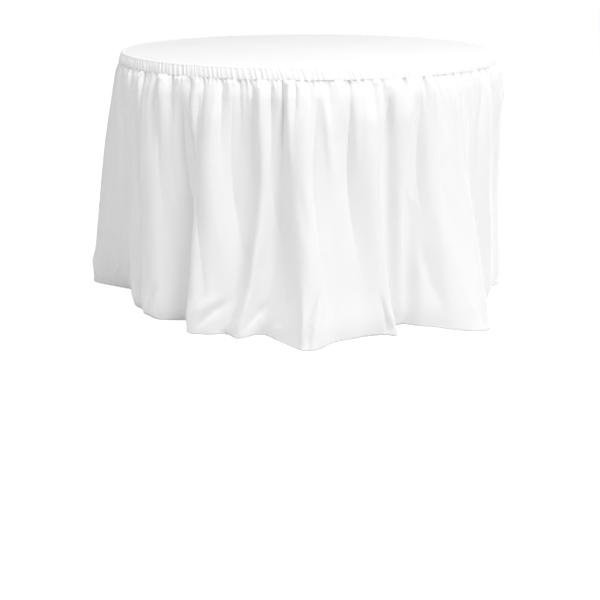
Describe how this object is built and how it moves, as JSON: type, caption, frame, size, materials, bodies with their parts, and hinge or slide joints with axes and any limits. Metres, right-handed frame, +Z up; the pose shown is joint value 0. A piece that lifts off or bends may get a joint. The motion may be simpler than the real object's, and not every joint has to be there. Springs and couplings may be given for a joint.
{
  "type": "clothed round folding table",
  "caption": "Round folding banquet table wearing a fitted white cloth: flat top panel, shirred heading and a gathered floor-length skirt that hangs in deep folds.",
  "frame": {"origin": "on the floor, below the middle of the table top", "axes": "+Z up, the shortest extent; +X to the right, across the two hinge axes; +Y to the rear, along the hinge axes"},
  "size_m": [1.4454, 1.4454, 0.7616],
  "materials": {
    "cloth": "matt plain-weave polyester, white",
    "tape": "woven tape, off-white",
    "veneer": "red-brown wood-grain laminate, glossy",
    "board": "plain plywood, unfinished underside",
    "edging": "black extruded edging, satin gloss",
    "black_steel": "black powder coat, fine texture",
    "black_plastic": "black moulded plastic",
    "foot_plastic": "black moulded plastic, scuffed",
    "zinc": "bright zinc plate"
  },
  "bodies": {
    "table_top": {"tabletop_board": "board", "top_laminate": "veneer", "edge_trim": "edging", "stacking_block_left": "black_plastic", "stacking_block_right": "black_plastic", "stacking_block_front": "black_plastic", "stacking_block_rear": "black_plastic", "hinge_bracket_left_front": "black_steel", "hinge_bracket_left_rear": "black_steel", "bracket_screw_left_front_outer": "zinc", "bracket_screw_left_front_inner": "zinc", "bracket_screw_left_rear_outer": "zinc", "bracket_screw_left_rear_inner": "zinc", "stay_rail_left": "zinc", "stay_stop_left": "black_plastic", "rail_screw_left_outer": "zinc", "rail_screw_left_inner": "zinc", "hinge_bracket_right_front": "black_steel", "hinge_bracket_right_rear": "black_steel", "bracket_screw_right_front_outer": "zinc", "bracket_screw_right_front_inner": "zinc", "bracket_screw_right_rear_outer": "zinc", "bracket_screw_right_rear_inner": "zinc", "stay_rail_right": "zinc", "stay_stop_right": "black_plastic", "rail_screw_right_outer": "zinc", "rail_screw_right_inner": "zinc"},
    "leg_frame_left": {"pivot_tube_left": "black_steel", "leg_left_front": "black_steel", "leg_left_rear": "black_steel", "crossbar_left": "black_steel", "centre_upright_left": "black_steel", "stay_lug_left": "black_steel"},
    "stay_left": {"stay_arm_left": "black_steel", "stay_lower_pin_left": "zinc", "stay_upper_pin_left": "zinc"},
    "shoe_left": {"stay_shoe_left": "black_plastic"},
    "foot_left_front": {"levelling_foot_left_front": "foot_plastic"},
    "foot_left_rear": {"levelling_foot_left_rear": "foot_plastic"},
    "leg_frame_right": {"pivot_tube_right": "black_steel", "leg_right_front": "black_steel", "leg_right_rear": "black_steel", "crossbar_right": "black_steel", "centre_upright_right": "black_steel", "stay_lug_right": "black_steel"},
    "stay_right": {"stay_arm_right": "black_steel", "stay_lower_pin_right": "zinc", "stay_upper_pin_right": "zinc"},
    "shoe_right": {"stay_shoe_right": "black_plastic"},
    "foot_right_front": {"levelling_foot_right_front": "foot_plastic"},
    "foot_right_rear": {"levelling_foot_right_rear": "foot_plastic"},
    "cloth": {"top_panel": "cloth", "shirring_tape": "tape", "shirred_heading": "cloth", "skirt_width_1": "cloth", "skirt_width_2": "cloth", "skirt_width_3": "cloth", "skirt_width_4": "cloth", "skirt_width_5": "cloth"}
  },
  "joints": [
    {"name": "leg_fold_left", "type": "hinge", "parent": "table_top", "child": "leg_frame_left", "pos_m": [-0.40003, 0, 0.7018], "axis": [0, -1, 0], "range_deg": [0, 90]},
    {"name": "stay_turn_left", "type": "hinge", "parent": "leg_frame_left", "child": "stay_left", "pos_m": [-0.37414, 0.109, 0.3998], "axis": [0, 1, 0], "range_deg": [0, 135]},
    {"name": "shoe_turn_left", "type": "hinge", "parent": "stay_left", "child": "shoe_left", "pos_m": [-0.04625, 0.109, 0.72769], "axis": [0, -1, 0], "range_deg": [0, 45]},
    {"name": "foot_screw_left_front", "type": "slide", "parent": "leg_frame_left", "child": "foot_left_front", "axis": [0, 0, -1], "range_m": [0, 0.012]},
    {"name": "foot_screw_left_rear", "type": "slide", "parent": "leg_frame_left", "child": "foot_left_rear", "axis": [0, 0, -1], "range_m": [0, 0.012]},
    {"name": "leg_fold_right", "type": "hinge", "parent": "table_top", "child": "leg_frame_right", "pos_m": [0.40003, 0, 0.6738], "axis": [0, 1, 0], "range_deg": [0, 90]},
    {"name": "stay_turn_right", "type": "hinge", "parent": "leg_frame_right", "child": "stay_right", "pos_m": [0.34614, -0.109, 0.3998], "axis": [0, -1, 0], "range_deg": [0, 135]},
    {"name": "shoe_turn_right", "type": "hinge", "parent": "stay_right", "child": "shoe_right", "pos_m": [0.01826, -0.109, 0.72769], "axis": [0, 1, 0], "range_deg": [0, 45]},
    {"name": "foot_screw_right_front", "type": "slide", "parent": "leg_frame_right", "child": "foot_right_front", "axis": [0, 0, -1], "range_m": [0, 0.012]},
    {"name": "foot_screw_right_rear", "type": "slide", "parent": "leg_frame_right", "child": "foot_right_rear", "axis": [0, 0, -1], "range_m": [0, 0.012]},
    {"name": "cloth_lift", "type": "slide", "parent": "table_top", "child": "cloth", "axis": [0, 0, 1], "range_m": [0, 0.8]}
  ],
  "couplings": [
    {"joint": "stay_turn_left", "follows": "leg_fold_left", "ratio": 1.5},
    {"joint": "shoe_turn_left", "follows": "leg_fold_left", "ratio": 0.5},
    {"joint": "stay_turn_right", "follows": "leg_fold_right", "ratio": 1.5},
    {"joint": "shoe_turn_right", "follows": "leg_fold_right", "ratio": 0.5}
  ]
}
